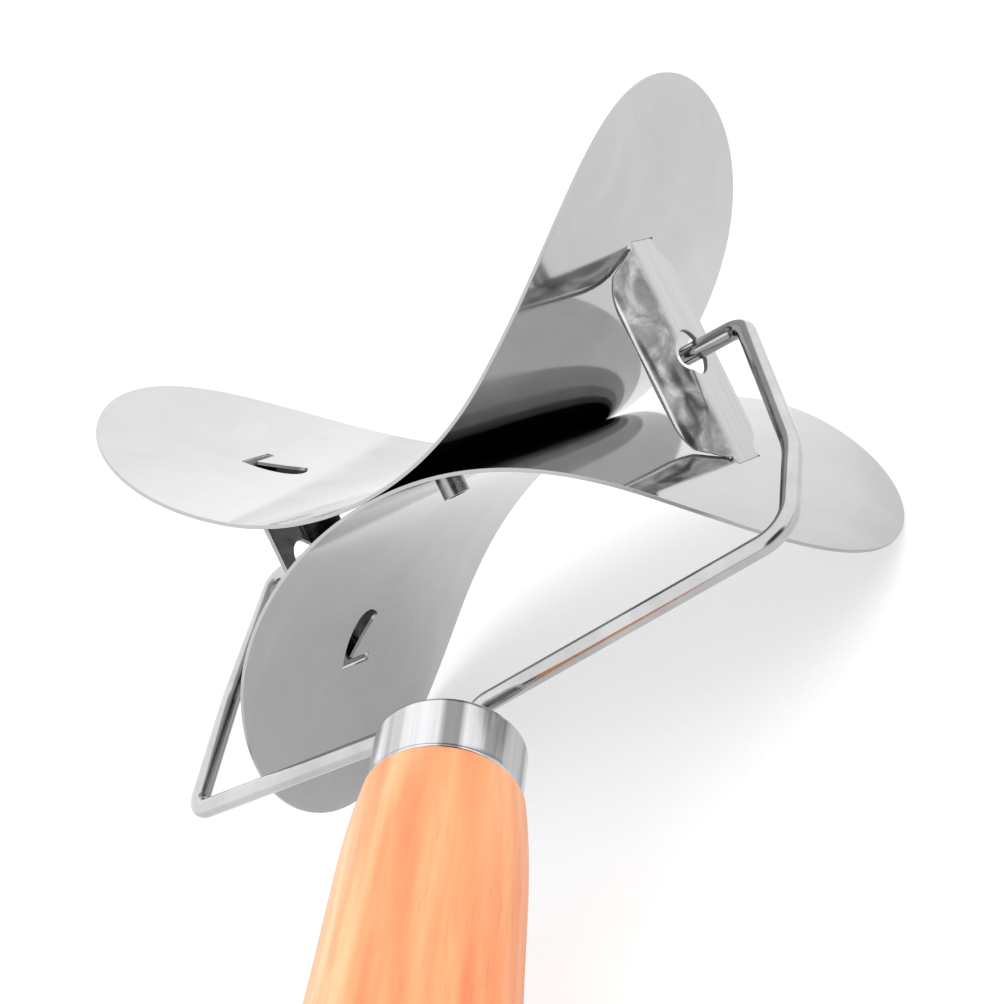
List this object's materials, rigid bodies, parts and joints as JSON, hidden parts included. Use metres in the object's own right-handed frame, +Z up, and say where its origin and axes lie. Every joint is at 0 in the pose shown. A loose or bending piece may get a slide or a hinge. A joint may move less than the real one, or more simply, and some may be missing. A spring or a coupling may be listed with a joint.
{
  "type": "croissant cutter",
  "caption": "Hand dough cutter: bent leaf blades riveted back to back spin freely in a bent-wire fork on a turned wooden handle.",
  "frame": {"origin": "on the worktop, under the middle of the tool's bounding box", "axes": "+X along the rotor's axle to the tool's right, +Y from the handle's end towards the blades, +Z up"},
  "size_m": [0.1184, 0.2116, 0.0768],
  "materials": {
    "beech": "turned, sanded smooth, waxed",
    "ferrule_steel": "drawn stainless cap, satin",
    "wire_steel": "polished stainless wire",
    "blade_steel": "mirror-polished stainless sheet",
    "bracket_steel": "stamped sheet, dull and mottled with bright cut edges",
    "rivet_steel": "bright steel"
  },
  "bodies": {
    "holder": {"handle": "beech", "ferrule": "ferrule_steel", "fork": "wire_steel"},
    "rotor": {"upper_blade": "blade_steel", "lower_blade": "blade_steel", "left_bracket": "bracket_steel", "right_bracket": "bracket_steel", "blade_rivets": "rivet_steel"}
  },
  "joints": [
    {"name": "rotor_spin", "type": "hinge", "parent": "holder", "child": "rotor", "pos_m": [0, 0.06744, 0.0384], "axis": [1, 0, 0], "continuous": true}
  ]
}
